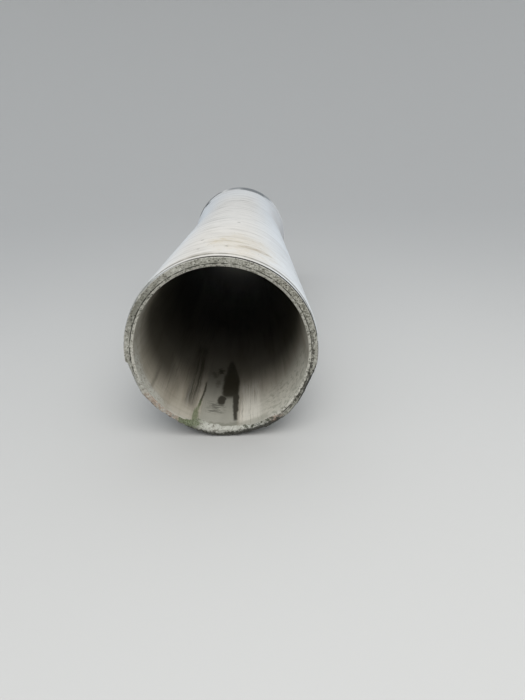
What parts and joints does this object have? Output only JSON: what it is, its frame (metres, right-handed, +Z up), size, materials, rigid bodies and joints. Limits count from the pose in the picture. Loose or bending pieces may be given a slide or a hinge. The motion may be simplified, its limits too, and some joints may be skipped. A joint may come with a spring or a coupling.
{
  "type": "concrete culvert pipe",
  "caption": "Straight round concrete pipe with a flared bell at one end and a stepped spigot at the other, for culverts and drains.",
  "frame": {"origin": "middle of the bottom of the bounding box, on the floor that the pipe lies on", "axes": "+Z up; the pipe runs along +Y from its spigot to its bell, and its axis rises 1.17 degrees towards the bell, as the pipe lies; +X to the right seen from the spigot"},
  "size_m": [1.3338, 5.1735, 1.3348],
  "materials": {
    "concrete": "cast concrete, matt, weathered"
  },
  "bodies": {
    "root": {"pipe": "concrete"}
  },
  "joints": []
}
